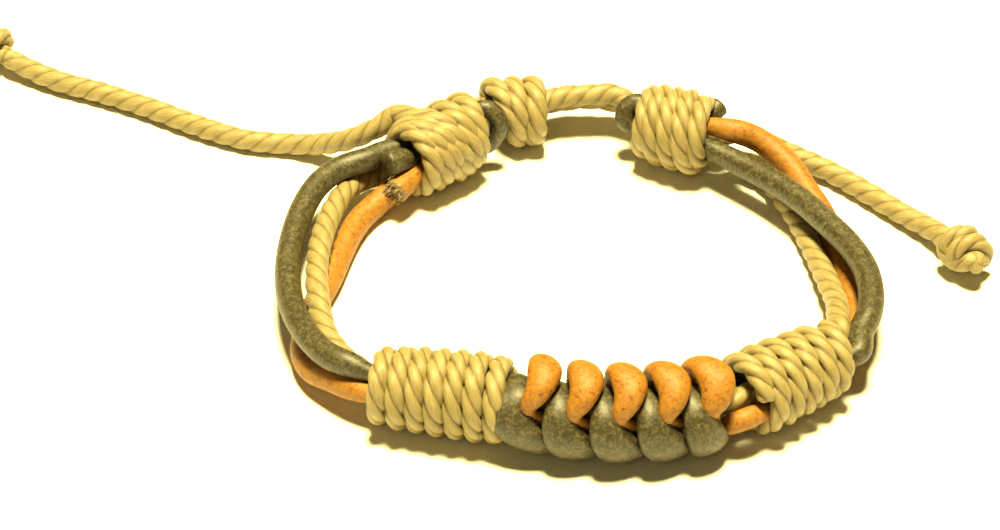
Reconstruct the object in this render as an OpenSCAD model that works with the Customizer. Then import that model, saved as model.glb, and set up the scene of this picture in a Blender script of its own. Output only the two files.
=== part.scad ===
// Adjustable wrist bracelet of two leather cords and one twisted waxed cord.
// X runs along the knotted front, Y to the rear and Z up. The bracelet lies on z = 0.

/* [Cords] */
// Diameter of each round leather cord
leather_d = 2.4; // [2.2:0.1:2.5]
// Diameter of the twisted waxed cord
twine_d = 2.3; // [2.1:0.1:2.4]

/* [Wraps] */
// Width of one turn of the two front wraps
front_turn_w = 1.8; // [1.7:0.02:1.84]
// Thickness of one turn of the two front wraps
front_turn_t = 1.9; // [1.7:0.05:1.95]
// Width of one turn of the three rear wraps
rear_turn_w = 2.2; // [2:0.05:2.3]
// Thickness of one turn of the three rear wraps
rear_turn_t = 2; // [1.8:0.05:2.1]

/* [Centre knots] */
// Distance from one loop to the next of the same colour
loop_pitch = 3.95; // [3.9:0.01:4]
// Radius of the coil that each colour makes
coil_r = 2.7; // [2.65:0.01:2.75]
// How far each colour's coil is set off from the middle
coil_shift = 1; // [0.95:0.01:1.05]
// Width of an orange loop where it shows most
orange_loop_w = 3.7; // [3:0.1:3.7]
// Width of an olive loop where it shows most
olive_loop_w = 3.3; // [3:0.1:3.4]

/* [Smoothness] */
// Sides of every tube
tube_sides = 8; // [6:2:10]
// Segments in one turn of a wrap
wrap_steps = 12; // [10:2:16]
// Segments in one loop of the centre knots
loop_steps = 14; // [12:2:18]

/* [Hidden] */

olive_colour = [0.42, 0.37, 0.2];
orange_colour = [0.91, 0.56, 0.18];
twine_colour = [0.79, 0.66, 0.34];

// Middle of the outline in the tables below, which is moved onto the origin
middle = [-0.6, 0.16, 0];

// Distance between the rings of a gently curved tube
ring_gap = 3.2;

// Axes of the wraps: middle of the first turn and of the last, from left to right
front_left_axis = [[-18.9, -19.3, 4.1], [-7.9, -21.4, 4.3]];
front_right_axis = [[14.4, -21.1, 4.4], [23.7, -14.6, 3.75]];
rear_left_axis = [[-17.3, 14.5, 4.5], [-11, 19.9, 4.25]];
small_rear_axis = [[-9.5, 23.5, 3.8], [-4.7, 23.8, 3.7]];
rear_right_axis = [[7.1, 21.3, 4.3], [12.2, 18.7, 4.5]];

// Axis of the centre knots: an arc with this middle and radius
knot_middle = [3.5, -23.8, 4.8];
knot_bend_r = 28;

// Angles round a wrap start at the top and run down its front.
// The highest and lowest edges that a viewer sees lie this far behind and before the vertical.
edge_angle = 40;

function xyz(p) = [p[0], p[1], p[2]];
function unit(v) = v / norm(v);

// A row beyond either end of a table, by reflection
function row_before(rows, i) = i > 0 ? rows[i - 1] : 2 * rows[0] - rows[1];
function row_after(rows, i) = i < len(rows) - 2 ? rows[i + 2] : 2 * rows[i + 1] - rows[i];

// Smooth step from row b to row c of a table whose rows are evenly spaced
function even_step(a, b, c, d, f) = let (g = f * f, h = f * g)
    0.5 * (2 * b + f * (c - a) + g * (2 * a - 5 * b + 4 * c - d) + h * (3 * b - a - 3 * c + d));

// Smooth step from row b to row c of a route whose rows are unevenly spaced
function spread(a, b) = max(0.01, sqrt(norm(xyz(b) - xyz(a))));
function route_step(a, b, c, d, f) = let (
        u = spread(a, b), v = spread(b, c), w = spread(c, d), g = f * f, h = f * g,
        leave = v * ((b - a) / u - (c - a) / (u + v)) + (c - b),
        arrive = (c - b) - v * ((d - b) / (v + w) - (d - c) / w)
    )
    (2 * h - 3 * g + 1) * b + (h - 2 * g + f) * leave + (3 * g - 2 * h) * c + (h - g) * arrive;

// Points of a smooth route, with about one ring for each ring_gap
function route(rows) = concat(
    [for (i = [0 : len(rows) - 2])
        let (n = max(1, round(norm(xyz(rows[i + 1]) - xyz(rows[i])) / ring_gap)))
        for (k = [0 : n - 1])
            route_step(row_before(rows, i), rows[i], rows[i + 1], row_after(rows, i), k / n)],
    [rows[len(rows) - 1]]
);

// A straight axis: its direction, the side towards the viewer and the upper side
function along(axis) = unit(axis[1] - axis[0]);
function front(axis) = unit(cross(along(axis), [0, 0, 1]));
function upper(axis) = cross(front(axis), along(axis));
function outward(axis, angle) = cos(angle) * upper(axis) + sin(angle) * front(axis);
function spot(axis, at, angle, r) = axis[0] + at * along(axis) + r * outward(axis, angle);

// Rows of a cord that a wrap holds. Columns: distance along the axis, angle, distance from it, diameter
function held(axis, rows) = [for (h = rows) concat(spot(axis, h[0], h[1], h[2]), [h[3]])];
// Rows of a cord that lies free. Columns: x, y, z
function laid(rows, d) = [for (p = rows) [p[0], p[1], p[2], d]];

// The axis of the centre knots at a distance from its middle
function knot_turn(at) = at / knot_bend_r * 180 / PI;
function knot_axis(at) = knot_middle
    + knot_bend_r * [sin(knot_turn(at)), 1 - cos(knot_turn(at)), 0];
function knot_outward(at, angle) = [
    sin(angle) * sin(knot_turn(at)), -sin(angle) * cos(knot_turn(at)), cos(angle)
];

// Sweeps a tube through points. across holds the direction of each ring's thickness,
// and sizes its half width and half thickness.
module tube(points, across, sizes) {
    last = len(points) - 1;
    rings = [for (i = [0 : last])
        let (
            t = unit(points[min(last, i + 1)] - points[max(0, i - 1)]),
            v = unit(across[i] - (across[i] * t) * t),
            u = cross(t, v)
        )
        for (k = [0 : tube_sides - 1])
            let (a = 360 * (k + 0.5) / tube_sides)
            points[i] + sizes[i][0] * cos(a) * u + sizes[i][1] * sin(a) * v];
    sides = [for (i = [0 : last - 1], k = [0 : tube_sides - 1])
        let (
            a = i * tube_sides + k, b = i * tube_sides + (k + 1) % tube_sides,
            c = b + tube_sides, d = a + tube_sides
        )
        each [[a, b, c], [a, c, d]]];
    ends = [
        [for (k = [tube_sides - 1 : -1 : 0]) k],
        [for (k = [0 : tube_sides - 1]) last * tube_sides + k]
    ];
    polyhedron(rings, concat(sides, ends));
}

// Directions that stay square to a route without turning round it
function carried(points, start) = let (last = len(points) - 1)
    [for (
        i = 0, v = start;
        i <= last;
        i = i + 1,
        t = i <= last ? unit(points[min(last, i + 1)] - points[i - 1]) : [1, 0, 0],
        v = unit(v - (v * t) * t)
    ) v];
function flipped(list) = [for (i = [len(list) - 1 : -1 : 0]) list[i]];
function places(rows) = [for (p = rows) xyz(p)];
function round_sizes(rows) = [for (p = rows) [p[3] / 2, p[3] / 2]];

// A round cord whose diameter follows its rows
module round_cord(rows) {
    points = route(rows);
    tube(places(points), carried(places(points), [0.1, 0.2, 1]), round_sizes(points));
}

// Turns of a wrap, from left to right. Columns: angle, distance along the axis, radius
function turns(first, pitch, lean, radii, way) = [
    for (i = [0 : len(radii) - 1], half = [0, 1]) [
        (way > 0 ? -edge_angle : 180 - edge_angle) + way * (360 * i + 180 * half),
        first + pitch * i + lean * half,
        radii[i]
    ]
];
// The left rear wrap. Its first turn dips at the top, where the tail lies over it.
// Columns: angle, distance along the axis, radius
rear_left_turns = [
    [180, -0.4, 3.3], [140, -0.2, 3.3], [-40, 1.1, 3.05], [-220, 2.2, 3.3], [-400, 3.6, 3.4],
    [-580, 4.8, 3.4], [-760, 6.2, 3.4], [-940, 7.2, 3.15], [-1030, 7.75, 3.05], [-1120, 8.9, 2.95]
];
module wrap(axis, rows, w, t) {
    steps = concat(
        [for (i = [0 : len(rows) - 2])
            let (n = max(1, round(abs(rows[i + 1][0] - rows[i][0]) * wrap_steps / 360)))
            for (k = [0 : n - 1])
                even_step(row_before(rows, i), rows[i], rows[i + 1], row_after(rows, i), k / n)],
        [rows[len(rows) - 1]]
    );
    tube(
        [for (s = steps) spot(axis, s[1], s[0], s[2])],
        [for (s = steps) outward(axis, s[0])],
        [for (s = steps) [w / 2, t / 2] / cos(180 / tube_sides)]
    );
}

// One colour's coil in the centre knots. Angles start at the top and run down the front.
coil_tilt = 20;
squeezed_w = 1.55;
loop_t = 2.2;
squeezed_t = 1.5;
// A coil's way holds its place at the top, how far it leans and how far it sways at the front.
function coil_at(way, angle) = way[0] + loop_pitch * angle / 360
    + way[1] * (cos(angle) - 1) - way[2] * pow(max(0, sin(angle)), 2);
function coil_angles(first, last) = let (n = round((last - first) * loop_steps / 360))
    [for (k = [0 : n]) first + (last - first) * k / n];
function coil_points(way, side, angles) = [for (a = angles)
    let (at = coil_at(way, a))
    knot_axis(at) + coil_r * knot_outward(at, a) + coil_shift * knot_outward(at, side)];
function coil_across(way, angles) = [for (a = angles) knot_outward(coil_at(way, a), a)];
function coil_sizes(loop_w, side, angles) = [for (a = angles)
    let (
        near = max(0, cos(a - side)), far = (1 - cos(a - side)) / 2,
        grown = min(1, 0.2 + (a - angles[0]) / 300)
    )
    [
        (squeezed_w + (loop_w - squeezed_w) * near * near * grown) / 2,
        (loop_t + (squeezed_t - loop_t) * far) / 2
    ]];

// A leather cord: a round stretch, its coil in the centre knots and another round stretch
module knotted_cord(before, way, loop_w, side, first, last, after) {
    angles = coil_angles(first, last);
    coil = coil_points(way, side, angles);
    across = coil_across(way, angles);
    sizes = coil_sizes(loop_w, side, angles);
    n = len(coil) - 1;
    lead = route(concat(before, [concat(coil[0], [2 * sizes[0][0]])]));
    rest = route(concat([concat(coil[n], [2 * sizes[n][0]])], after));
    lead_points = [for (i = [0 : len(lead) - 2]) xyz(lead[i])];
    rest_points = [for (i = [1 : len(rest) - 1]) xyz(rest[i])];
    lead_across = flipped(carried(flipped(lead_points), across[0]));
    rest_across = carried(rest_points, across[n]);
    tube(
        concat(lead_points, coil, rest_points),
        concat(lead_across, across, rest_across),
        concat(
            [for (i = [0 : len(lead) - 2]) [lead[i][3] / 2, lead[i][3] / 2]],
            sizes,
            [for (i = [1 : len(rest) - 1]) [rest[i][3] / 2, rest[i][3] / 2]]
        )
    );
}

// Olive cord down the left side. Columns: x, y, z
olive_left = [
    [-21.6, 13.7, 5.1], [-24.1, 12.7, 4.9], [-26.3, 10.2, 4.8], [-27.8, 6.3, 4.6],
    [-28.7, 0.8, 4.4], [-28.7, -4.5, 4.4], [-27.9, -9, 4.6], [-26.2, -13.3, 4.9], [-24.1, -16.4, 5.2],
    [-22.2, -17.7, 5.4]
];
// Olive cord up the right side
olive_right = [
    [26.1, -12.2, 4.4], [27, -10.4, 4.8], [27.6, -7.6, 4.8], [27.5, -3.6, 4.8], [26.4, 0.2, 4.7],
    [24.6, 3.7, 4.6], [22, 8.1, 4.4], [18.8, 12, 4.2], [15.9, 14.7, 4.1]
];
// Orange cord down the left side
orange_left = [
    [-20, 11.4, 1.9], [-21.1, 10.3, 1.5], [-22.3, 8.5, 1.35], [-23.3, 6, 1.3], [-24.1, 3, 1.25],
    [-24.9, -0.5, 1.25], [-26.2, -4.8, 1.25], [-26.9, -9.1, 1.3], [-26.9, -12, 1.5], [-25.8, -14.9, 2],
    [-23.9, -16.9, 2.8], [-22, -18.5, 3.2]
];
// Orange cord up the right side
orange_right = [
    [25.2, -12, 2.1], [26, -8.8, 1.6], [26.5, -5.5, 1.3], [26.3, -1, 1.3], [25.5, 4.3, 1.4],
    [24.5, 8.9, 1.8], [23, 12, 2.6], [21.5, 14.5, 3.7], [19.1, 16.7, 4.8], [17.5, 17.2, 5.5],
    [15.9, 17.2, 6.1]
];
// Twisted cord down the left side and up the right side
core_left = [
    [-20.7, 14.6, 2.4], [-22.4, 13.4, 2.5], [-24, 10.5, 3.2], [-25, 7, 3.5], [-25.8, 2.3, 3.75],
    [-26, -2.5, 3.75], [-25.6, -7, 3.7], [-24.6, -11.5, 3.4], [-22.8, -14.5, 3.3], [-21.2, -16.2, 3.3]
];
core_right = [
    [24.1, -10.8, 4.6], [24.5, -6.5, 3.1], [24.2, -2.3, 2], [23.5, 2, 1.45],
    [22.6, 6.2, 1.3], [21.3, 10.7, 1.25], [19.6, 14.8, 1.3], [16.8, 17.1, 1.6]
];
// The two stretches of twisted cord that close the loop at the rear
closing_top = [[-2.5, 24.6, 4.7], [1.4, 25.1, 4.8], [3.8, 25, 4.9]];
closing_low = [[-2.5, 26.5, 2.8], [1.5, 26.9, 3], [4.6, 26.3, 2.7]];

function olive_start() = concat(
    held(rear_left_axis, [
        [-3.3, 20, 1.2, 2.5], [-2.2, 20, 1.1, 2.4], [-1.1, 30, 0.5, 1.5], [0, 60, 0.1, 1.3],
        [3.6, 50, 0.5, 1.25], [6, 135, 1.1, 1.3], [7.8, 138, 1.3, 1.5], [8.9, 132, 1.75, 2.1],
        [9.5, 112, 1.4, 2.2], [9.75, 55, 0.9, 2.2], [9.45, 12, 1.3, 1.9], [8.4, -12, 1.1, 1.3],
        [6, -12, 1.35, 1.3], [3, -20, 1.4, 1.3], [1, -68, 1.4, 1.3], [-0.9, -66, 1.45, 1.4],
        [-1.9, -75, 2.2, 2.2]
    ]),
    laid(olive_left, leather_d),
    held(front_left_axis, [
        [-0.9, -25, 1, 1.5], [3, -25, 1.1, 1.45], [7, -38, 1.45, 1.4], [10, -45, 1.55, 1.4],
        [11.6, -50, 1.6, 1.5]
    ])
);
function olive_finish() = concat(
    held(front_right_axis, [
        [-0.9, -100, 1.5, 1.6], [2.5, -90, 1.45, 1.35], [4.5, -70, 1.15, 1.35], [6, -20, 1, 1.35],
        [7.5, 28, 0.95, 1.35], [9, 68, 0.95, 1.35], [10.5, 98, 0.95, 1.35], [11.8, 80, 1.05, 1.5],
        [12.8, 74, 1.5, 2]
    ]),
    laid(olive_right, leather_d),
    held(rear_right_axis, [
        [7.2, 92, 1.45, 1.6], [5, 94, 1.4, 1.3], [2, 98, 1.15, 1.2], [0, 100, 0.95, 1.3],
        [-1.3, 97, 0.85, 1.1], [-2, 94, 1.5, 2], [-2.7, 50, 1.3, 2.3], [-2, -4, 1.5, 2],
        [-1.3, 0, 0.85, 1.15], [0, 0, 1.1, 1.3],
        [2, -10, 1.15, 1.2], [5, -62, 1.4, 1.3], [7.3, -66, 1.6, 1.6]
    ]),
    [[15.1, 19.7, 5.7, 2.1], [15.7, 20.9, 6.1, 2.3]]
);
function orange_start() = concat(
    [[-19.2, 10.8, 3.1, 2.4], [-18.3, 11.7, 3.3, 2.4]],
    held(rear_left_axis, [
        [-0.9, 113, 1.5, 1.3], [1.6, 115, 1.4, 1.2], [2.5, 142, 1.3, 1.2], [1.6, 172, 1.4, 1.2],
        [-0.9, 174, 1.5, 1.3]
    ]),
    laid(orange_left, leather_d),
    held(front_left_axis, [
        [-0.9, 120, 1, 1.5], [3, 115, 1.1, 1.45], [7, 120, 1.4, 1.4], [8.5, 145, 1.5, 1.4],
        [10, 185, 1.5, 1.4], [11.6, 215, 1.4, 1.5]
    ])
);
function orange_finish() = concat(
    held(front_right_axis, [
        [-2, 122, 2.9, 2.1], [-0.9, 114, 2.9, 2.2], [0, 106, 2.3, 1.8], [0.9, 98, 1.6, 1.45],
        [2.5, 85, 1.45, 1.4], [4.5, 75, 1.15, 1.35], [6, 105, 1, 1.35], [7.5, 148, 0.95, 1.35],
        [9, 188, 0.95, 1.35], [10.5, 222, 0.95, 1.35], [11.8, 222, 1, 1.5], [12.8, 215, 1.4, 2.1]
    ]),
    laid(orange_right, leather_d),
    held(rear_right_axis, [[7.2, 2, 1.55, 1.7], [5, 12, 1.4, 1.3], [3.4, 24, 1.35, 1.2]])
);
function core_rows() = concat(
    // from the left rear wrap, along the rear and into the right side
    held(rear_left_axis, [
        [3.6, -80, 1.4, 1.3], [6, -82, 1.35, 1.3], [8.4, -80, 1.3, 1.35], [10, -64, 1.5, 1.6]
    ]),
    held(small_rear_axis, [[-0.6, 315, 1, 1.4], [1.5, 270, 0.85, 1.5], [4.6, 235, 0.85, 1.5]]),
    laid(closing_low, twine_d),
    held(rear_right_axis, [
        [-0.2, 200, 1.15, 1.3], [2, 190, 1.05, 1.2], [5, 165, 1.4, 1.3], [7.2, 160, 1.45, 1.6]
    ]),
    flipped(laid(core_right, twine_d)),
    // through the front
    held(front_right_axis, [
        [12.7, -42, 2, 2], [11.8, -25, 1.05, 1.4], [10.5, -18, 0.95, 1.35],
        [9, -52, 0.95, 1.35], [7.5, -92, 0.95, 1.35], [6, -135, 0.9, 1.35], [4.5, 185, 0.8, 1.35],
        [2.5, 180, 0.05, 1.4]
    ]),
    [for (at = [9.5, 6, 3, 0, -3, -6, -9.5]) concat(knot_axis(at), [1.7])],
    held(front_left_axis, [
        [9, 0, 0.1, 1.4], [6, 215, 0.3, 1.4], [3, 225, 1.05, 1.4], [-0.9, 228, 0.9, 1.3]
    ]),
    flipped(laid(core_left, twine_d)),
    // through the left rear wrap again and along the rear to the right rear wrap
    held(rear_left_axis, [
        [-0.9, -128, 1.55, 1.4], [1, -128, 1.45, 1.3], [6, -145, 1.3, 1.3], [8.4, -155, 1.3, 1.4],
        [10, -155, 1.5, 1.7]
    ]),
    held(small_rear_axis, [[-0.6, 135, 1.1, 1.6], [1.5, 90, 0.85, 1.5], [4.6, 55, 0.85, 1.5]]),
    laid(closing_top, twine_d),
    held(rear_right_axis, [[-0.2, -80, 1.3, 1.4], [2, -90, 1.15, 1.2], [5, -128, 1.4, 1.3]])
);

// Free tails. Columns: x, y, z
tail_left_route = [
    [-18.9, 19.2, 6.6], [-20.2, 18.8, 5.7], [-21.8, 18.6, 4.8], [-23.9, 18.9, 3.6],
    [-26.7, 20.2, 2.1], [-30, 21.3, 1.25], [-34.5, 22, 1.2], [-39.8, 24.4, 1.2], [-45.3, 27.6, 1.2],
    [-50.8, 30.3, 1.25], [-55.3, 32.2, 1.25], [-59, 34.2, 1.6], [-61.5, 35.7, 2.1]
];
// The right one starts inside its wrap, as one row of a cord that a wrap holds.
tail_right_start = [6, -134, 1.5, 1.4];
tail_right_route = [
    [14.7, 19.6, 3.4], [15.7, 20.3, 3.4], [17.3, 20.7, 3.2], [19.8, 19.8, 2.4], [23, 18.5, 1.6],
    [26, 16.5, 1.3], [29.3, 13.4, 1.2], [32.6, 9.8, 1.25], [35.6, 6.4, 1.65], [36.9, 4.1, 2.1]
];

module olive_cord() {
    color(olive_colour)
    knotted_cord(olive_start(), [-9.9, 0.45, 0.15], olive_loop_w, 180 - coil_tilt, -30, 1645,
        olive_finish());
}
module orange_cord() {
    color(orange_colour)
    knotted_cord(orange_start(), [-7.7, 0.1, 1.14], orange_loop_w, -coil_tilt, -130, 1560,
        orange_finish());
}
module core_cord() {
    color(twine_colour) round_cord(core_rows());
}
module front_left_wrap() {
    color(twine_colour)
    wrap(front_left_axis,
        concat([[220, -0.8, 2.7]], turns(-0.1, 1.86, 0.05, [2.8, 3.05, 3.15, 3.25, 3.3, 3.35, 3.35], -1)),
        front_turn_w, front_turn_t);
}
module front_right_wrap() {
    color(twine_colour)
    wrap(front_right_axis,
        concat([[405, 0.7, 3], [320, 0.6, 3.2]], turns(1.4, 2.02, 1.25, [3.3, 3.25, 3.15, 3, 2.8], -1)),
        front_turn_w, front_turn_t);
}
module rear_left_wrap() {
    color(twine_colour)
    wrap(rear_left_axis,
        rear_left_turns, rear_turn_w, rear_turn_t);
}
module small_rear_wrap() {
    color(twine_colour)
    wrap(small_rear_axis,
        concat([[380, 0.7, 2.55], [320, 0.3, 2.7]], turns(2.2, 2.5, 0.45, [2.75, 2.7], -1)),
        rear_turn_w, rear_turn_t);
}
module rear_right_wrap() {
    color(twine_colour)
    wrap(rear_right_axis,
        turns(-0.3, 2.05, 1.2, [2.75, 3.2, 3.35, 3.4], 1),
        front_turn_w, rear_turn_t);
}
module tail_left() {
    color(twine_colour) round_cord(laid(tail_left_route, twine_d));
}
module tail_right() {
    color(twine_colour)
    round_cord(concat(held(rear_right_axis, [tail_right_start]), laid(tail_right_route, twine_d)));
}

// An overhand knot: the tail runs through it, turns back and coils once round itself.
// Columns: along the tail, across, up, diameter
knot_core = [
    [0.1, 0, 0, 2.2], [0.7, 0, 0, 1.6], [2.6, 0, 0, 1.5], [3.7, 0.2, 0.2, 1.5],
    [4.1, 0.9, 0.8, 1.5]
];
knot_coil = [for (a = [60 : 30 : 360])
    [3.55 - 1.9 * (a - 60) / 300, 1.65 * cos(a), 1.65 * sin(a), 1.5]];
knot_end = [[1.5, 2.3, 1.2, 1.8], [1.3, 2.6, 2.2, 2.3]];
module tail_knot(place, heading, rise, roll) {
    translate(place) rotate([0, -rise, heading]) rotate([roll, 0, 0])
    round_cord(concat(knot_core, knot_coil, knot_end));
}
module tail_knot_left() {
    color(twine_colour) tail_knot(tail_left_route[12], 149, 9, 0);
}
module tail_knot_right() {
    color(twine_colour) tail_knot(tail_right_route[9], -62, 9, 0);
}

translate(-middle) olive_cord();
translate(-middle) orange_cord();
translate(-middle) core_cord();
translate(-middle) front_left_wrap();
translate(-middle) front_right_wrap();
translate(-middle) rear_left_wrap();
translate(-middle) small_rear_wrap();
translate(-middle) rear_right_wrap();
translate(-middle) tail_left();
translate(-middle) tail_right();
translate(-middle) tail_knot_left();
translate(-middle) tail_knot_right();
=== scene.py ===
import math

import bmesh
import bpy
import numpy as np
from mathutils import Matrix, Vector


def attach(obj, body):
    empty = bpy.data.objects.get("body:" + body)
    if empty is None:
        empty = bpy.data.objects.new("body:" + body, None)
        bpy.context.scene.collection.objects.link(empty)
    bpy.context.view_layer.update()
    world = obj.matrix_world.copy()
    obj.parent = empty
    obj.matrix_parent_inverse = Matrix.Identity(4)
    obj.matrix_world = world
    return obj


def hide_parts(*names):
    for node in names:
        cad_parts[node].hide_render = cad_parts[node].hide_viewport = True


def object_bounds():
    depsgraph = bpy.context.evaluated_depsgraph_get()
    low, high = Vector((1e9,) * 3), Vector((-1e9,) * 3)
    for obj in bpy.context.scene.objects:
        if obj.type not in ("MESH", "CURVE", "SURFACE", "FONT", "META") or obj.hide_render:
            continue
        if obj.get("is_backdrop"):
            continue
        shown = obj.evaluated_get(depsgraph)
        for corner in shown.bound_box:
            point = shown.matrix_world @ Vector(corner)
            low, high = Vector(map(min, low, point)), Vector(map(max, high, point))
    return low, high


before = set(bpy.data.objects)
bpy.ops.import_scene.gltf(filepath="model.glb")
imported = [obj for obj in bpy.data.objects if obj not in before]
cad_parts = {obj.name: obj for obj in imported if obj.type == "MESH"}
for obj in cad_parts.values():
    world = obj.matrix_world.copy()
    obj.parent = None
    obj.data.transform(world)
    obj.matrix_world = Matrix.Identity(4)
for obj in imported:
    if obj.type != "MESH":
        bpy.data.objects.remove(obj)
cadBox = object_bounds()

scene = bpy.context.scene

mm = 0.001
middle = np.array([-0.6, 0.16, 0.0])    # middle of the outline, as in the solids
leatherDiameter = 2.55
twineDiameter = 2.3
routeGap = 0.2          # between the points of a smooth route, mm
anyUp = [0.1, 0.2, 1]   # runs along none of the cords


def inFrame(points):    # from the tables' millimetres to the frame's metres
    return (np.asarray(points, float) - middle) * mm


# camera: the photograph's angle
cameraSettings = {
    "target": (-8.1, 3.1, 0.0),    # the point on the floor in the middle of the view, mm
    "distance": 290.0,             # mm
    "elevation": 40.0,             # degrees
    "lens": 104.4,
}


def makeCamera(settings):
    data = bpy.data.cameras.new("camera")
    data.lens = settings["lens"]
    data.sensor_width = 36.0
    data.clip_start = 0.01
    data.clip_end = 20.0
    camera = bpy.data.objects.new("camera", data)
    scene.collection.objects.link(camera)
    tilt = math.radians(settings["elevation"])
    target = Vector(inFrame(settings["target"]))
    camera.location = target + Vector((0, -math.cos(tilt), math.sin(tilt))) * settings["distance"] * mm
    camera.rotation_euler = (math.pi / 2 - tilt, 0, 0)
    scene.camera = camera


makeCamera(cameraSettings)
print("camera ready")


# smooth routes through tables of points
def unit(v):
    v = np.asarray(v, float)
    return v / np.linalg.norm(v)


def tableRow(rows, i):    # beyond either end, by reflection
    last = len(rows) - 1
    if i < 0:
        return 2 * rows[0] - rows[1]
    if i > last:
        return 2 * rows[last] - rows[last - 1]
    return rows[i]


def smoothRoute(rows):    # through unevenly spaced rows; columns x, y, z, diameter
    rows = np.asarray(rows, float)
    spread = lambda a, b: max(0.01, math.sqrt(np.linalg.norm(b[:3] - a[:3])))
    out = []
    for i in range(len(rows) - 1):
        a, b, c, d = (tableRow(rows, i + k) for k in (-1, 0, 1, 2))
        u, v, w = spread(a, b), spread(b, c), spread(c, d)
        leave = v * ((b - a) / u - (c - a) / (u + v)) + (c - b)
        arrive = (c - b) - v * ((d - b) / (v + w) - (d - c) / w)
        steps = max(1, round(np.linalg.norm(c[:3] - b[:3]) / routeGap))
        for k in range(steps):
            f = k / steps
            g, h = f * f, f * f * f
            out.append((2*h - 3*g + 1) * b + (h - 2*g + f) * leave + (3*g - 2*h) * c + (h - g) * arrive)
    return np.array(out + [rows[-1]])


def lengths(points):    # distance along a line of points
    return np.concatenate([[0], np.cumsum(np.linalg.norm(np.diff(points, axis=0), axis=1))])


def evenly(points, gap, *columns):    # the same line with evenly spaced points, and its other columns
    far = lengths(points)
    count = max(4, round(far[-1] / gap))
    at = np.linspace(0, far[-1], count + 1)
    pick = lambda data: np.stack([np.interp(at, far, data[:, k]) for k in range(data.shape[1])], axis=1)
    return [pick(np.asarray(c)) for c in (points, *columns)]


def relaxed(data, width):    # a soft moving average that leaves both ends in place
    reach = int(3 * width)
    weights = np.exp(-0.5 * (np.arange(-reach, reach + 1) / width) ** 2)
    weights /= weights.sum()
    before = 2 * data[0] - data[reach:0:-1]
    after = 2 * data[-1] - data[-2:-reach - 2:-1]
    padded = np.concatenate([before, data, after])
    return np.stack([np.convolve(padded[:, k], weights, "valid") for k in range(data.shape[1])], axis=1)


def tangents(points):
    t = np.gradient(points, axis=0)
    return t / np.linalg.norm(t, axis=1)[:, None]


def carried(points, start):    # directions that stay square to the line without turning round it
    t = tangents(points)
    v = np.asarray(start, float)
    out = []
    for k in range(len(points)):
        v = unit(v - v.dot(t[k]) * t[k])
        out.append(v)
    return np.array(out)


def squared(across, points):    # two sets of directions square to the line; with it they are right-handed
    t = tangents(points)
    v = across - (across * t).sum(1)[:, None] * t
    v /= np.linalg.norm(v, axis=1)[:, None]
    return np.cross(v, t), v


# the wraps' axes, as in the solids; angles round a wrap start at its top and run down its front
frontLeftAxis = np.array([[-18.9, -19.3, 4.1], [-7.9, -21.4, 4.3]])
frontRightAxis = np.array([[14.4, -21.1, 4.4], [23.7, -14.6, 3.75]])
rearLeftAxis = np.array([[-17.3, 14.5, 4.5], [-11, 19.9, 4.25]])
smallRearAxis = np.array([[-9.5, 23.5, 3.8], [-4.7, 23.8, 3.7]])
rearRightAxis = np.array([[7.1, 21.3, 4.3], [12.2, 18.7, 4.5]])
edgeAngle = 40.0    # how far before the top the highest edge that a viewer sees lies


def axisFrame(axis):    # the direction of an axis, its front and its upper side
    along = unit(axis[1] - axis[0])
    front = unit(np.cross(along, [0, 0, 1]))
    return along, front, np.cross(front, along)


def outward(axis, angle):
    along, front, upper = axisFrame(axis)
    a = np.radians(np.asarray(angle, float))[..., None]
    return np.cos(a) * upper + np.sin(a) * front


def spot(axis, at, angle, r):
    along = axisFrame(axis)[0]
    at, r = (np.asarray(n, float)[..., None] for n in (at, r))
    return axis[0] + at * along + r * outward(axis, angle)


def held(axis, rows):    # a cord in a wrap; columns: distance along the axis, angle, distance from it, diameter
    return [[*spot(axis, at, angle, r), d] for at, angle, r, d in rows]


def laid(rows, d):    # a cord of one diameter in the open
    return [[x, y, z, d] for x, y, z in rows]


# the axis of the centre knots: an arc with this middle and radius
knotMiddle = np.array([3.5, -23.8, 4.8])
knotBend = 28.0


def knotAxis(at):
    turn = np.asarray(at, float) / knotBend
    return knotMiddle + knotBend * np.stack([np.sin(turn), 1 - np.cos(turn), 0 * turn], axis=-1)


def knotOutward(at, angle):
    turn, a = np.asarray(at, float) / knotBend, np.radians(angle)
    return np.stack([np.sin(a) * np.sin(turn), -np.sin(a) * np.cos(turn), np.cos(a) + 0 * turn], axis=-1)


# meshes: each strand is a grid that is wrapped round its own line
def strandMesh(name, strands):    # a strand: places (rings, sides, 3) in metres, and how far along each ring is, mm
    bm = bmesh.new()
    bm.loops.layers.uv.new("UVMap")
    for places, along in strands:
        n, sides = places.shape[:2]
        new = bmesh.ops.create_grid(bm, x_segments=sides, y_segments=n - 1, size=1.0, calc_uvs=True)["verts"]
        columns = {}
        for v in new:
            i = round((v.co.x + 1) / 2 * sides)
            j = round((v.co.y + 1) / 2 * (n - 1))
            columns[i, j] = v
        for (i, j), v in columns.items():
            v.co = places[j, i % sides]
        uv = bm.loops.layers.uv.active
        for face in set(f for v in new for f in v.link_faces):
            for loop in face.loops:
                loop[uv].uv.y *= along[-1]    # v counts millimetres along the cord
        bmesh.ops.weld_verts(bm, targetmap={columns[sides, j]: columns[0, j] for j in range(n)})
        for j in (0, n - 1):
            ring = [columns[i, j] for i in range(sides)]
            edges = [e for e in set(e for v in ring for e in v.link_edges) if len(e.link_faces) == 1]
            bmesh.ops.holes_fill(bm, edges=edges, sides=0)
    bmesh.ops.recalc_face_normals(bm, faces=bm.faces)
    mesh = bpy.data.meshes.new(name)
    bm.to_mesh(mesh)
    bm.free()
    mesh.shade_smooth()
    piece = bpy.data.objects.new(name, mesh)
    scene.collection.objects.link(piece)
    return piece


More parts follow.
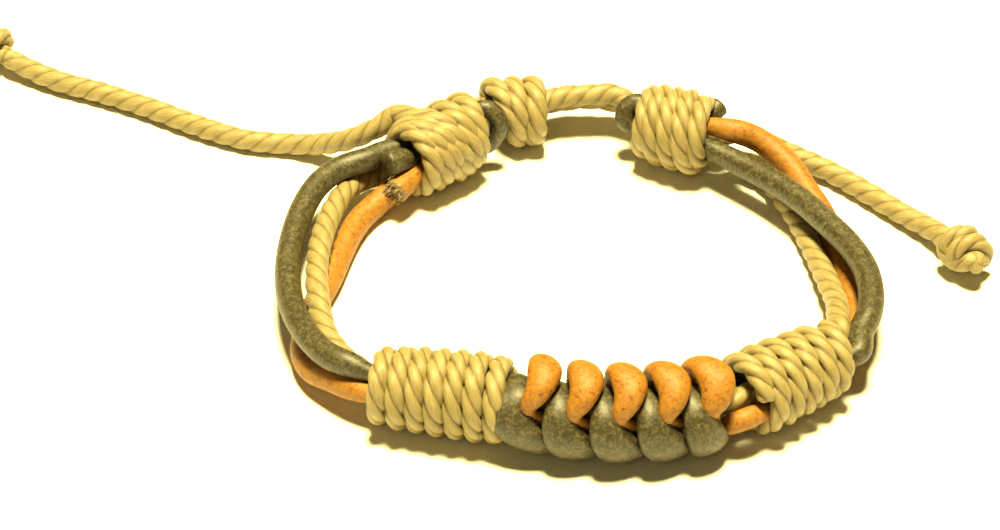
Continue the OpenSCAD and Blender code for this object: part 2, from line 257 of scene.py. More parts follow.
def domedEnds(count, gap, radius, least=0.12):    # how wide each ring is near a rounded end
    far = np.minimum(np.arange(count), np.arange(count)[::-1]) * gap
    near = np.clip(far / radius, 0, 1)
    return np.maximum(least, np.sqrt(1 - (1 - near) ** 2))


def ringsAround(points, u, v, halfU, halfV, sides):
    a = 2 * math.pi * np.arange(sides) / sides
    halfU, halfV = (np.asarray(h, float)[:, None, None] for h in (halfU, halfV))
    return points[:, None] + halfU * np.cos(a)[:, None] * u[:, None] + halfV * np.sin(a)[:, None] * v[:, None]


# twisted cord: three plies laid tightly round each other, with a crease where two of them meet
twineSettings = {
    "plies": 3,
    "lay": 6.2,           # length of one full turn of a ply, mm
    "offset": 0.36,       # the middle of a ply's outer curve, as a share of the cord's radius
    "freeOffset": 0.22,   # the same where the cord lies free
    "plump": 0.85,        # below 1, each ply's sides are steeper
    "sides": 30,
    "gap": 0.2,           # between rings, mm
    "wander": 0.16,       # how unevenly the plies lie, in radians
    "swell": 0.02,        # how unevenly thick the cord is, as a share
    "swellSeed": 50,      # added to the cord's own seed
    "endRound": 0.5,      # mm
    "waves": [(2.3, 1.0), (1.1, 0.7), (5.7, 0.6)],    # size, divided by 2 pi, and share of each uneven wave
    "waveHeight": 1.4,    # of all three, which the unevenness is divided by
}


def plyProfile(s, offset):    # a cord's section: angles and how far out each one is
    place = np.arange(s["sides"]) / s["sides"] * s["plies"]
    across = (place - np.floor(place)) * 2 - 1                  # -1 and 1 are the creases
    across = np.sign(across) * np.abs(across) ** s["plump"]
    half = math.pi / s["plies"]
    angle = (np.floor(place) * 2 + 1) * half + across * half
    turn = across * half
    out = offset * np.cos(turn) + np.sqrt((1 - offset) ** 2 - (offset * np.sin(turn)) ** 2)
    return angle, out


def waver(far, seed, size, s):    # a smooth uneven wave along a cord
    phases = np.random.default_rng(seed).uniform(0, 2 * math.pi, len(s["waves"]))
    total = sum(share * np.sin(far / wave + phase) for (wave, share), phase in zip(s["waves"], phases))
    return size * total / s["waveHeight"]


def twineRings(points, across, halfW, halfT, start=0.0, seed=1, free=0.0, s=twineSettings):
    columns = np.stack([np.broadcast_to(c, len(points)) for c in (halfW, halfT, free)], axis=1)
    points, across, columns = evenly(np.asarray(points), s["gap"], np.asarray(across), columns)
    u, v = squared(across, points)
    along = lengths(points)
    angle, wrapped = plyProfile(s, s["offset"])
    loose = plyProfile(s, s["freeOffset"])[1]
    out = wrapped + columns[:, 2:] * (loose - wrapped)
    turn = start - 2 * math.pi * along / s["lay"] + waver(along, seed, s["wander"], s)
    uneven = 1 + waver(along, seed + s["swellSeed"], s["swell"], s)
    sizes = columns[:, :2] * uneven[:, None] * domedEnds(len(points), s["gap"], s["endRound"])[:, None]
    a = turn[:, None] + angle
    places = (points[:, None] + (sizes[:, :1] * out * np.cos(a))[..., None] * u[:, None]
              + (sizes[:, 1:] * out * np.sin(a))[..., None] * v[:, None])
    return inFrame(places), along


def twine(name, *rings, **settings):
    return strandMesh(name, [twineRings(*rings, **settings)])


def roundTwine(name, line, **settings):    # columns of the line: x, y, z, diameter
    points, radius = line[:, :3], line[:, 3] / 2
    return twine(name, points, carried(points, anyUp), radius, radius, **settings)


def finishPiece(piece, material, node):
    piece.data.materials.append(material)
    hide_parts(node)
    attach(piece, "root")
    return piece


def finishTwine(piece, node):
    return finishPiece(piece, waxedTwine, node)


# shader maths on sockets
class Wire:
    def __init__(self, tree, socket=None):
        self.tree, self.socket = tree, socket

    def node(self, kind, settings=(), inputs=(), output=0):
        made = self.tree.nodes.new(kind)
        for key, value in dict(settings).items():
            if key == "stops":
                ramp = made.color_ramp.elements
                while len(ramp) < len(value):
                    ramp.new(0.5)
                for stop, (place, colour) in zip(ramp, value):
                    stop.position, stop.color = place, (*colour, 1)
            else:
                setattr(made, key, value)
        for key, value in dict(inputs).items():
            if isinstance(value, Wire):
                self.tree.links.new(value.socket, made.inputs[key])
            else:
                made.inputs[key].default_value = value
        return Wire(self.tree, made.outputs[output])

    def maths(self, operation, *values, clamp=False):
        return self.node("ShaderNodeMath", {"operation": operation, "use_clamp": clamp}, enumerate(values))

    def ramp(self, stops, value):
        return self.node("ShaderNodeValToRGB", {"stops": stops}, {0: value})

    def noise(self, place, scale, detail=3.0, roughness=0.5):
        inputs = {"Vector": place, "Scale": scale, "Detail": detail, "Roughness": roughness}
        return self.node("ShaderNodeTexNoise", {}, inputs)

    def aroundAndAlong(self):    # the piece's own UV map: 0 to 1 round the cord, and millimetres along it
        uv = self.node("ShaderNodeTexCoord", output="UV")
        parts = self.node("ShaderNodeSeparateXYZ", {}, {0: uv}).socket.node
        return [Wire(self.tree, parts.outputs[k]) for k in (0, 1)]

    def __add__(self, other): return self.maths("ADD", self, other)
    __radd__ = __add__
    def __sub__(self, other): return self.maths("SUBTRACT", self, other)
    def __mul__(self, other): return self.maths("MULTIPLY", self, other)
    __rmul__ = __mul__
    def __abs__(self): return self.maths("ABSOLUTE", self)


def newMaterial(name):
    material = bpy.data.materials.new(name)
    material.use_nodes = True
    return material, Wire(material.node_tree), material.node_tree.nodes["Principled BSDF"]


def finishMaterial(w, shader, colour, height, settings):
    bump = w.node("ShaderNodeBump", {}, {"Strength": settings["bump"], "Distance": settings["bumpDistance"],
                                         "Height": height})
    for wire, name in ((colour, "Base Color"), (bump, "Normal")):
        w.tree.links.new(wire.socket, shader.inputs[name])
    shader.inputs["Roughness"].default_value = settings["roughness"]


# the twine's own colours, fibres and blotches, with painted shade in the creases between its plies
twineLookAndPaintedShade = {
    "stops": [(0.1, (0.03, 0.018, 0.005)), (0.4, (0.14, 0.098, 0.037)),
              (0.62, (0.235, 0.175, 0.069)), (0.85, (0.33, 0.265, 0.13))],
    "roughness": 0.5,
    "girth": 7.0,                    # round the cord, mm
    "fibreSlope": (0.9, 0.42),       # the fibres lean across the ply
    "fibreScale": (9.0, 0.9),        # across and along the fibres, for each mm
    "blotchScale": 700.0,
    "tone": 0.7,                     # the middle of the colour ramp's range in use
    "fibreTone": 0.7,
    "blotchTone": 0.35,
    # painted shade: the next two settings darken the colour towards the creases between the plies
    "paintedCreaseShade": 0.34,
    "paintedCreaseShadeSharpness": 5.0,
    "bump": 0.6,
    "bumpDistance": 0.00012,
}


def makeTwineMaterial(s):
    material, w, shader = newMaterial("waxedTwine")
    place = w.node("ShaderNodeTexCoord", output="Object")
    u, along = w.aroundAndAlong()
    ply = w.maths("FRACT", u * twineSettings["plies"])    # 0 and 1 are the creases between the plies
    around = u * s["girth"]
    more, less = s["fibreSlope"]
    acrossFibre = (around * more - along * less) * s["fibreScale"][0]
    alongFibre = (around * less + along * more) * s["fibreScale"][1]
    fibreAt = w.node("ShaderNodeCombineXYZ", {}, {0: acrossFibre, 1: alongFibre})
    fibre = w.noise(fibreAt, 1.0, roughness=0.6)
    blotch = w.noise(place, s["blotchScale"])
    # painted shade: the colour is made darker towards the creases between the plies, where shade falls
    crease = w.maths("POWER", abs(ply - 0.5) * 2, s["paintedCreaseShadeSharpness"])
    fresh = s["tone"] + (fibre - 0.5) * s["fibreTone"] + (blotch - 0.5) * s["blotchTone"]
    light = w.maths("SUBTRACT", fresh, crease * s["paintedCreaseShade"], clamp=True)
    finishMaterial(w, shader, w.ramp(s["stops"], light), fibre, s)
    return material


leatherGrain = {
    "mottleScale": 1600.0,
    "grainScale": 3800.0,
    "mottleTone": 0.9,
    "grainTone": 0.7,
    "bump": 0.35,
    "bumpDistance": 0.0001,
}
oliveFinish = {
    "stops": [(0.32, (0.017, 0.013, 0.005)), (0.5, (0.047, 0.037, 0.015)), (0.7, (0.112, 0.09, 0.046))],
    "roughness": 0.48,
    **leatherGrain,
}
orangeFinish = {
    "stops": [(0.25, (0.11, 0.03, 0.003)), (0.42, (0.25, 0.094, 0.006)), (0.7, (0.335, 0.152, 0.011))],
    "roughness": 0.6,
    "cut": [(0.35, (0.1, 0.06, 0.02)), (0.65, (0.26, 0.18, 0.09))],    # the fibrous face of a cut end
    "cutLength": 0.45,                                                  # mm
    "cutRagged": 0.8,
    **leatherGrain,
}


def makeLeatherMaterial(name, s):
    material, w, shader = newMaterial(name)
    place = w.node("ShaderNodeTexCoord", output="Object")
    mottle = w.noise(place, s["mottleScale"], 6.0, 0.7)
    grain = w.noise(place, s["grainScale"])
    mix = (mottle - 0.5) * s["mottleTone"] + (grain - 0.5) * s["grainTone"] + 0.5
    colour = w.ramp(s["stops"], mix)
    if "cut" in s:
        along = w.aroundAndAlong()[1]
        fresh = w.ramp(s["cut"], grain)
        near = w.maths("LESS_THAN", along, (mottle - 0.5) * s["cutRagged"] + s["cutLength"])
        colour = w.node("ShaderNodeMix", {"data_type": "RGBA"}, {0: near, 6: colour, 7: fresh}, output=2)
    finishMaterial(w, shader, colour, mottle + grain * 0.5, s)
    return material


waxedTwine = makeTwineMaterial(twineLookAndPaintedShade)
oliveLeather = makeLeatherMaterial("oliveLeather", oliveFinish)
orangeLeather = makeLeatherMaterial("orangeLeather", orangeFinish)
print("materials ready")


# free tails; each route starts at its wrap and ends at its knot
tailLeftRoute = [
    [-18.9, 19.2, 6.6], [-20.2, 18.8, 5.7], [-21.8, 18.6, 4.8], [-23.9, 18.9, 3.6],
    [-26.7, 20.2, 2.1], [-30, 21.3, 1.25], [-34.5, 22, 1.2], [-39.8, 24.4, 1.2], [-45.3, 27.6, 1.2],
    [-50.8, 30.3, 1.25], [-55.3, 32.2, 1.25], [-59, 34.2, 1.6], [-61.5, 35.7, 2.1],
]
tailRightRoute = [
    [14.7, 19.6, 3.4], [15.7, 20.3, 3.4], [17.3, 20.7, 3.2], [19.8, 19.8, 2.4], [23, 18.5, 1.6],
    [26, 16.5, 1.3], [29.3, 13.4, 1.2], [32.6, 9.8, 1.25], [35.6, 6.4, 1.65], [36.9, 4.1, 2.1],
]
tailRightSettings = {
    "start": [6, -134, 1.5, 1.4],    # inside the wrap
    "heading": -62,                  # of the knot, degrees
    "rise": 2,
    "pathGap": 1.2,                  # between the points of an evenly spaced path along the tail, mm
}
tailLeftSettings = {
    "heading": 149,
    "rise": 2,
    "pathGap": 1.2,
}
knotSettings = {    # columns: along the tail, across, up, diameter
    "core": [[-0.4, 0, 0, 2.2], [0.9, 0, 0.1, 2.2], [2.3, 0.1, 0.4, 1.6], [3.6, 0.3, 0.5, 1.6]],
    "end": [[2.4, -1.4, -0.2, 1.9], [3.4, -0.9, 0.2, 2.1], [4.3, -0.4, 0.6, 2.4], [4.9, -0.5, 1.1, 2.6]],
    "coilFrom": -30, "coilTo": 530, "coilStep": 35,    # degrees round the core
    "coilRadius": 1.5,
    "coilUp": 0.5,
    "coilDiameter": 1.9,
    "coilNear": 1.1, "coilLength": 2.5,                # how far along the tail the coil ends, and how long it is
    "coilCrowd": 1.3,                                  # above 1, its turns lie closer towards its end
}


def overhandKnot(name, place, heading, rise, s=knotSettings):
    reach = s["coilTo"] - s["coilFrom"]
    coil = []
    for angle in range(s["coilFrom"], s["coilTo"] + 1, s["coilStep"]):
        a = math.radians(angle)
        far = s["coilNear"] + s["coilLength"] * ((s["coilTo"] - angle) / reach) ** s["coilCrowd"]
        coil.append([far, s["coilRadius"] * math.cos(a), s["coilUp"] + s["coilRadius"] * math.sin(a),
                     s["coilDiameter"]])
    line = smoothRoute(s["core"] + coil + s["end"])
    h, r = math.radians(heading), math.radians(-rise)
    turnZ = np.array([[math.cos(h), -math.sin(h), 0], [math.sin(h), math.cos(h), 0], [0, 0, 1]])
    turnY = np.array([[math.cos(r), 0, math.sin(r)], [0, 1, 0], [-math.sin(r), 0, math.cos(r)]])
    line[:, :3] = line[:, :3] @ (turnZ @ turnY).T + place
    return roundTwine(name, line)


def finishTail(side, tail, line, s):    # the line starts where the tail leaves its wrap
    knot = overhandKnot("tailKnot" + side, line[-1], s["heading"], s["rise"])
    finishTwine(knot, "tail_knot_" + side.lower())
    finishTwine(tail, "tail_" + side.lower())
    path = inFrame(evenly(line, s["pathGap"])[0])


line = smoothRoute(held(rearRightAxis, [tailRightSettings["start"]]) + laid(tailRightRoute, twineDiameter))
finishTail("Right", roundTwine("tailRight", line, free=1.0), line[:, :3], tailRightSettings)
print("right tail ready")


# wraps
wrapSettings = {
    "step": 4.0,       # between the points of a turn, degrees
    "soften": 7,       # how many of these points its corners are rounded over
}


def turns(first, pitch, lean, radii, way):    # columns: angle, distance along the axis, radius
    begin = -edgeAngle if way > 0 else 180 - edgeAngle
    return [[begin + way * (360 * i + 180 * half), first + pitch * i + lean * half, r]
            for i, r in enumerate(radii) for half in (0, 1)]


def coiled(axis, rows, s=wrapSettings):    # a line round an axis, and which way is outwards
    rows = np.array(rows, float)
    far = np.concatenate([[0], np.cumsum(np.abs(np.diff(rows[:, 0])))])
    spots = np.linspace(0, far[-1], round(far[-1] / s["step"]) + 1)
    angle, at, r = (np.interp(spots, far, rows[:, k]) for k in range(3))
    at, r = relaxed(np.stack([at, r], axis=1), s["soften"]).T
    return spot(axis, at, angle, r), outward(axis, angle)


def wrap(name, node, axis, s):
    points, across = coiled(axis, s["turns"])
    piece = twine(name, points, across, s["width"] / 2, s["thickness"] / 2, s["start"], s["seed"])
    return finishTwine(piece, node)


frontLeftSettings = {
    "turns": [    # angle, distance along the axis, radius
        [220, -0.8, 2.7], [140, -0.1, 2.8], [-40, -0.05, 2.8], [-220, 1.76, 3.05], [-400, 1.7, 3.05],
        [-580, 3.62, 3.15], [-760, 3.35, 3.15], [-940, 5.48, 3.25], [-1120, 5.1, 3.25], [-1300, 7.34, 3.3],
        [-1480, 6.9, 3.3], [-1660, 9.2, 3.35], [-1840, 8.7, 3.35], [-2020, 11.0, 3.3], [-2110, 10.9, 3.25],
        [-2200, 10.7, 3.2], [-2290, 11.6, 2.9]],
    "width": 2.05, "thickness": 1.9,    # of the cord, which is pressed flatter in its turns, mm
    "start": 0.4,                       # how the plies are turned at the first end, radians
    "seed": 2,
}
frontRightSettings = {
    "turns": [[428, 0.7, 2.9], [390, 0.6, 3.1], [320, 0.6, 3.2]]
             + turns(1.4, 2.02, 1.25, [3.3, 3.25, 3.15, 3, 2.8], -1),
    "width": 2.05, "thickness": 1.9,
    "start": 1.1,
    "seed": 3,
}
smallRearSettings = {
    "turns": [
        [-200, 1.2, 1.5], [-130, 0.8, 2.4], [-40, 0.2, 2.8], [50, 2.3, 2.65], [140, 3.4, 1.8], [230, 2.8, 2.2],
        [320, 2.6, 2.8], [410, 3.2, 2.9], [500, 3.1, 2.85], [590, 3.9, 2.7], [680, 4.8, 2.8], [770, 5.1, 2.9],
        [860, 4.9, 2.8], [950, 5.2, 2.4]],
    "width": 2.35, "thickness": 2.0,
    "start": 0.2,
    "seed": 4,
}
rearRightSettings = {
    "turns": [
        [-130, -0.2, 2.4], [-40, -0.1, 2.8], [50, 0.8, 2.95], [100, 0.8, 3.0], [140, 0.4, 3.0], [230, 0.7, 3.1],
        [320, 1.1, 3.2], [410, 1.7, 3.25], [500, 2.3, 3.25], [590, 2.3, 3.3], [680, 2.5, 3.3], [770, 3.3, 3.35],
        [860, 4.1, 3.35], [950, 4.0, 3.4], [1040, 3.9, 3.4], [1130, 5.0, 3.4], [1220, 6.0, 3.35],
        [1310, 5.7, 3.3], [1400, 5.6, 3.25], [1490, 6.8, 3.1], [1580, 6.8, 2.5]],
    "width": 2.1, "thickness": 2.0,
    "start": 0.9,
    "seed": 5,
}
wrap("frontLeftWrap", "front_left_wrap", frontLeftAxis, frontLeftSettings)
wrap("frontRightWrap", "front_right_wrap", frontRightAxis, frontRightSettings)
wrap("smallRearWrap", "small_rear_wrap", smallRearAxis, smallRearSettings)
wrap("rearRightWrap", "rear_right_wrap", rearRightAxis, rearRightSettings)
print("wraps ready")


# the left tail runs over the top of its wrap and becomes the wrap's later turns
rearLeftSettings = {
    "firstTurns": [
        [-130, 0.2, 2.6], [-40, 0.4, 2.9], [50, 0.9, 3.1], [140, 0.2, 3.2], [230, 0.6, 3.2], [320, 1.0, 3.2],
        [410, 1.8, 3.3], [500, 2.3, 3.3], [590, 2.2, 3.3], [680, 2.0, 3.2], [770, 3.0, 3.3], [860, 3.6, 3.2],
        [950, 3.9, 2.8], [1000, 4.0, 2.2]],
    "laterTurns": [
        [0, 3.3, 3.45], [50, 4.1, 3.4], [140, 4.8, 3.4], [230, 5.0, 3.3], [320, 5.6, 3.35], [410, 5.5, 3.3],
        [500, 6.0, 3.2], [590, 7.0, 3.15], [680, 8.3, 3.25], [770, 6.9, 3.05], [860, 6.9, 2.9],
        [950, 6.6, 2.1]],
    "crossing": [2.4, -38, 3.7, 0],    # where the tail passes over the first turns
    "blend": 5,                        # points of the later turns that the tail's route also runs through
    "flatten": 5,                      # length over which the round tail gets its flatter form in the wrap, mm
    "width": 2.35, "thickness": 2.0,
    "firstSeed": 6,
    "laterSeed": 7,
}


def makeRearLeft(s):
    firstLine, firstAcross = coiled(rearLeftAxis, s["firstTurns"])
    laterLine = coiled(rearLeftAxis, s["laterTurns"])[0]
    blend = [laterLine[0], laterLine[s["blend"]]]
    join = smoothRoute(laid(tailLeftRoute[::-1], 0) + held(rearLeftAxis, [s["crossing"]]) + laid(blend, 0))[:, :3]
    shared = round(np.linalg.norm(blend[1] - blend[0]) / routeGap) + 1
    line = np.concatenate([join[:-shared], laterLine])
    seam = np.argmin(np.linalg.norm(line - tailLeftRoute[0], axis=1))
    foot = line - rearLeftAxis[0]
    along = axisFrame(rearLeftAxis)[0]
    radial = foot - (foot @ along)[:, None] * along
    tailLine = line[:seam + 1][::-1]    # from the wrap to the knot
    across = np.concatenate([carried(tailLine, radial[seam])[:0:-1], radial[seam:]])
    travelled = lengths(line) - lengths(line)[seam]
    pressed = np.clip(travelled / s["flatten"], 0, 1)
    free = twineDiameter / 2
    halfW, halfT = s["width"] / 2, s["thickness"] / 2
    places, far = twineRings(line, across, free + pressed * (halfW - free), free + pressed * (halfT - free),
                             0.0, s["laterSeed"], 1 - pressed)
    k = round(-travelled[0] / (travelled[-1] - travelled[0]) * (len(far) - 1))    # the ring at the seam
    first = twineRings(firstLine, firstAcross, halfW, halfT, 0.0, s["firstSeed"])
    finishTwine(strandMesh("rearLeftWrap", [first, (places[k:], far[k:] - far[k])]), "rear_left_wrap")
    tail = strandMesh("tailLeft", [(places[:k + 1], far[:k + 1])])
    finishTail("Left", tail, tailLine, tailLeftSettings)


makeRearLeft(rearLeftSettings)
print("rear left wrap and left tail ready")


# twisted cord inside the loop
coreLeft = [
    [-20.7, 14.6, 2.4], [-22.4, 13.4, 2.5], [-24, 10.5, 3.2], [-25, 7, 3.5], [-25.8, 2.3, 3.75],
    [-26, -2.5, 3.75], [-25.6, -7, 3.7], [-24.6, -11.5, 3.4], [-22.8, -14.5, 3.3], [-21.2, -16.2, 3.3],
]
coreRight = [
    [24.1, -10.8, 4.6], [24.5, -6.5, 3.1], [24.2, -2.3, 2.0], [23.5, 2, 1.45],
    [22.6, 6.2, 1.3], [21.3, 10.7, 1.25], [19.6, 14.8, 1.3], [16.8, 17.1, 1.6],
]
closingTop = [[-2.5, 24.6, 4.7], [1.4, 25.1, 4.8], [3.8, 25, 4.9]]
closingLow = [[-2.5, 26.5, 2.8], [1.5, 26.9, 3], [4.6, 26.3, 2.7]]
coreSettings = {
    "knotStops": (9.5, 6, 3, 0, -3, -6, -9.5),    # along the centre knots' axis
    "knotDiameter": 2.2,
    "pressedDiameter": 1.6,    # up to this one the plies lie tight
    "loosening": 0.5,          # and this much above it they lie free, mm
}
coreRows = (
    held(rearLeftAxis, [[3.6, -80, 1.4, 1.3], [6, -82, 1.35, 1.3], [8.4, -80, 1.3, 1.35], [10, -64, 1.5, 1.6]])
    + held(smallRearAxis, [[-0.6, 315, 1, 1.4], [1.5, 270, 0.85, 1.5], [4.6, 235, 0.85, 1.5]])
    + laid(closingLow, twineDiameter)
    + held(rearRightAxis, [[-0.2, 200, 1.15, 1.3], [2, 190, 1.05, 1.2], [5, 165, 1.4, 1.3], [7.2, 160, 1.45, 1.6]])
    + laid(coreRight, twineDiameter)[::-1]
    + held(frontRightAxis, [
        [12.7, -42, 2, 2.1], [11.8, -25, 1.05, 1.4], [10.5, -18, 0.95, 1.35], [9, -52, 0.95, 1.35],
        [7.5, -92, 0.95, 1.35], [6, -135, 0.9, 1.35], [4.5, 185, 0.8, 1.6], [2.5, 180, 0.05, 2.1]])
    + [[*knotAxis(at), coreSettings["knotDiameter"]] for at in coreSettings["knotStops"]]
    + held(frontLeftAxis, [[9, 0, 0.1, 1.4], [6, 215, 0.3, 1.4], [3, 225, 1.05, 1.4], [-0.9, 228, 0.9, 1.3]])
    + laid(coreLeft, twineDiameter)[::-1]
    + held(rearLeftAxis, [
        [-0.9, -128, 1.55, 1.4], [1, -128, 1.45, 1.3], [6, -145, 1.3, 1.3], [8.4, -155, 1.3, 1.4],
        [10, -155, 1.5, 1.7]])
    + held(smallRearAxis, [[-0.6, 135, 1.1, 1.6], [1.5, 90, 0.85, 1.5], [4.6, 55, 0.85, 1.5]])
    + laid(closingTop, twineDiameter)
    + held(rearRightAxis, [[-0.2, -80, 1.3, 1.4], [2, -90, 1.15, 1.2], [5, -128, 1.4, 1.3]])
)
line = smoothRoute(coreRows)
loose = np.clip((line[:, 3] - coreSettings["pressedDiameter"]) / coreSettings["loosening"], 0, 1)
finishTwine(roundTwine("coreCord", line, free=loose), "core_cord")
print("core ready")


# leather cords: each runs round the ring and coils round the core in the centre knots
loopSettings = {
    "pitch": 3.95,       # from one loop to the next, mm
    "radius": 2.7,
    "shift": 1.0,        # the olive coil lies this much lower than the axis, and the orange one higher, mm
    "tilt": 20.0,        # of that shift from the vertical, degrees
    "lean": 0.25,        # how far a loop's flat side turns along the axis
    "degrees": 4,        # between the points of a coil
    "period": 1440,      # the angle over which the loops grow
    "sides": 28,
    "gap": 0.22,         # between rings, mm
    "soften": (2.5, 3, 4),    # how many rings the line, its lean and its widths are smoothed over
    "endRound": 0.25,
}

oliveLeft = [
    [-21.6, 13.7, 5.1], [-24.1, 12.7, 4.9], [-26.3, 10.2, 4.8], [-27.8, 6.3, 4.6],
    [-28.7, 0.8, 4.4], [-28.7, -4.5, 4.4], [-27.9, -9, 4.6], [-26.2, -13.3, 4.9], [-24.1, -16.4, 5.2],
    [-22.2, -17.7, 5.4],
]
oliveRight = [
    [26.1, -12.2, 4.4], [27, -10.4, 4.8], [27.6, -7.6, 4.8], [27.5, -3.6, 4.8], [26.4, 0.2, 4.7],
    [24.6, 3.7, 4.6], [22, 8.1, 4.4], [18.8, 12, 4.2], [15.9, 14.7, 4.1],
]
orangeLeft = [
    [-20, 11.4, 1.9], [-21.1, 10.3, 1.5], [-22.3, 8.5, 1.35], [-23.3, 6, 1.3], [-24.1, 3, 1.25],
    [-24.9, -0.5, 1.25], [-26.2, -4.8, 1.25], [-26.9, -9.1, 1.3], [-26.9, -12, 1.5], [-25.8, -14.9, 2.0],
    [-23.9, -16.9, 2.8], [-22, -18.5, 3.2],
]
orangeRight = [
    [25.2, -12, 2.1], [26, -8.8, 1.6], [26.5, -5.5, 1.3], [26.3, -1, 1.3], [25.5, 4.3, 1.4],
    [24.5, 8.9, 1.8], [23, 12, 2.6], [21.5, 14.5, 3.7], [19.1, 16.7, 4.8], [17.5, 17.2, 5.5],
    [15.9, 17.2, 6.1],
]

oliveSettings = {
    "before": (    # from the cut end to the first loop
        held(rearLeftAxis, [
            [-3.5, 20, 1.2, 2.5], [-2.4, 20, 1.1, 2.8], [-1.2, 25, 0.8, 2.6], [-0.2, 40, 0.4, 1.9],
            [3.6, 50, 0.5, 1.25], [6, 135, 1.1, 1.3], [7.6, 138, 1.6, 1.5], [8.7, 136, 2.2, 1.9],
            [9.6, 103, 2.1, 2.0], [10, 65, 2.6, 2.0], [9.8, 38, 3.0, 2.0], [9.1, 20, 3.2, 1.9],
            [8.2, 5, 2.6, 1.5], [7.4, -8, 1.6, 1.3], [6, -12, 1.35, 1.3], [3, -20, 1.4, 1.3],
            [1, -68, 1.5, 1.6], [-0.6, -66, 1.9, 2.1], [-1.9, -75, 2.2, 2.3]])
        + laid(oliveLeft, leatherDiameter)
        + held(frontLeftAxis, [
            [-0.9, -25, 1, 1.5], [3, -25, 1.1, 1.45], [7, -38, 1.45, 1.4], [10, -45, 1.55, 1.4],
            [11.6, -50, 1.6, 1.5]])),
    "after": (    # from the last loop to the other end
        held(frontRightAxis, [
            [-0.9, -100, 1.5, 2.2], [2.5, -90, 1.45, 1.5], [4.5, -70, 1.15, 1.35], [6, -20, 1, 1.35],
            [7.5, 28, 0.95, 1.35], [9, 68, 0.95, 1.35], [10.5, 98, 0.95, 1.35], [11.8, 78, 1.1, 1.9],
            [12.8, 68, 1.55, 2.45]])
        + laid(oliveRight, leatherDiameter)
        + held(rearRightAxis, [
            [7.2, 92, 1.45, 1.8], [5, 94, 1.4, 1.3], [2, 98, 1.15, 1.2], [0, 100, 0.95, 1.3],
            [-0.9, 97, 1.1, 1.4], [-1.5, 90, 1.6, 1.9], [-2.1, 50, 1.4, 2.1], [-1.5, 2, 1.9, 2.1],
            [-0.6, -4, 2.1, 1.9], [0.5, -8, 1.6, 1.4], [2, -10, 1.15, 1.2], [5, -62, 1.4, 1.3],
            [6.6, -62, 2.2, 1.8]])
        + [[13.9, 20.6, 6.0, 2.2], [14.6, 21.4, 6.2, 2.3]]),
    "angles": (-30, 1645),    # of the coil's two ends
    "begin": -9.9,            # along the axis at angle 0, mm
    "underBack": 0.45,        # half of how far back the coil lies underneath, mm
    "frontBack": 0.15,        # how far back it lies in front, mm
    "side": 180 - loopSettings["tilt"],
    "grow": (1.0, 0.0),       # width of the first loop, and how much wider the last one is, as shares
    "uneven": [(40, 40, 1.0, -0.6), (125, 35, -0.9, 0.6), (1590, 40, 0.0, -0.8)],    # angle, reach, wider, sway
    "loop": [    # angle from the top down the front, width, thickness, sway along the axis, how much further out
        [-120, 2.2, 1.6, 0.6, 0], [-60, 2.1, 1.5, 0.1, 0], [0, 2.5, 1.6, 0, 0], [25, 2.8, 1.9, 0, 0],
        [45, 3.2, 2.1, 0, 0], [65, 3.6, 2.3, 0, 0], [85, 3.9, 2.2, 0.3, 0], [105, 4.0, 2.0, 0.8, 0],
        [130, 3.9, 1.75, 1.3, 0], [160, 3.5, 1.7, 1.6, 0], [190, 3.0, 1.7, 1.4, 0], [240, 2.2, 1.6, 0.6, 0]],
}
orangeSettings = {
    "before": (
        [[-18.8, 10.5, 3.3, 2.6], [-18, 11.4, 3.5, 2.5], [-16.9, 12.7, 3.6, 2.1]]
        + held(rearLeftAxis, [
            [1.6, 115, 1.4, 1.3], [2.5, 142, 1.3, 1.2], [1.6, 168, 1.5, 1.3], [-0.6, 176, 2.3, 2.0]])
        + laid(orangeLeft, leatherDiameter)
        + held(frontLeftAxis, [
            [-0.9, 120, 1, 1.7], [3, 115, 1.1, 1.45], [7, 120, 1.4, 1.4], [8.5, 145, 1.5, 1.4],
            [10, 185, 1.5, 1.4], [11.6, 215, 1.4, 1.5]])),
    "after": (
        [[11.9, -23.3, 2.4, 1.4], [12.5, -23.7, 3.0, 1.7], [13.3, -23.95, 3.6, 2.0], [14.5, -23.8, 4.1, 2.1],
         [15.7, -23, 4.0, 1.9]]
        + held(frontRightAxis, [
            [1.9, 112, 2.0, 1.5], [2.8, 92, 1.45, 1.4], [4.5, 75, 1.15, 1.35], [6, 105, 1, 1.35],
            [7.5, 148, 0.95, 1.35], [9, 188, 0.95, 1.35], [10.5, 222, 0.95, 1.35], [11.8, 222, 1, 1.5],
            [12.8, 215, 1.4, 2.1]])
        + laid(orangeRight, leatherDiameter)
        + held(rearRightAxis, [[7.2, 2, 1.55, 1.8], [5, 12, 1.4, 1.3], [3.4, 24, 1.35, 1.2]])),
    "angles": (-130, 1532),
    "begin": -7.7,
    "underBack": 0.1,
    "frontBack": 1.14,
    "side": -loopSettings["tilt"],
    "grow": (0.88, 0.1),
    "uneven": [(1500, 35, 0.5, 0.0)],
    "loop": [
        [-120, 2.1, 1.7, 0, 0], [-90, 2.8, 1.9, 0, 0], [-55, 3.5, 2.2, 0, 0], [-20, 3.8, 2.3, 0, 0],
        [5, 3.7, 2.3, 0, 0], [25, 3.35, 2.2, -0.05, 0], [45, 2.85, 2.1, -0.1, 0], [60, 2.3, 1.95, -0.3, 0],
        [75, 1.65, 1.6, -0.6, 0], [88, 1.3, 1.2, -0.65, -0.25], [105, 1.4, 1.2, -0.3, -0.5],
        [140, 1.6, 1.2, 0, -0.6], [180, 1.7, 1.3, 0, -0.4], [240, 2.1, 1.7, 0, 0]],
    "frayRadius": 0.95,
    "frayCount": 22,
}


def onLoop(table, angles):    # width, thickness, sway and lift at each angle
    lowest = table[0][0]
    a = (angles - lowest) % 360 + lowest
    table = np.array(table, float)
    return [np.interp(a, table[:, 0], table[:, k]) for k in (1, 2, 3, 4)]


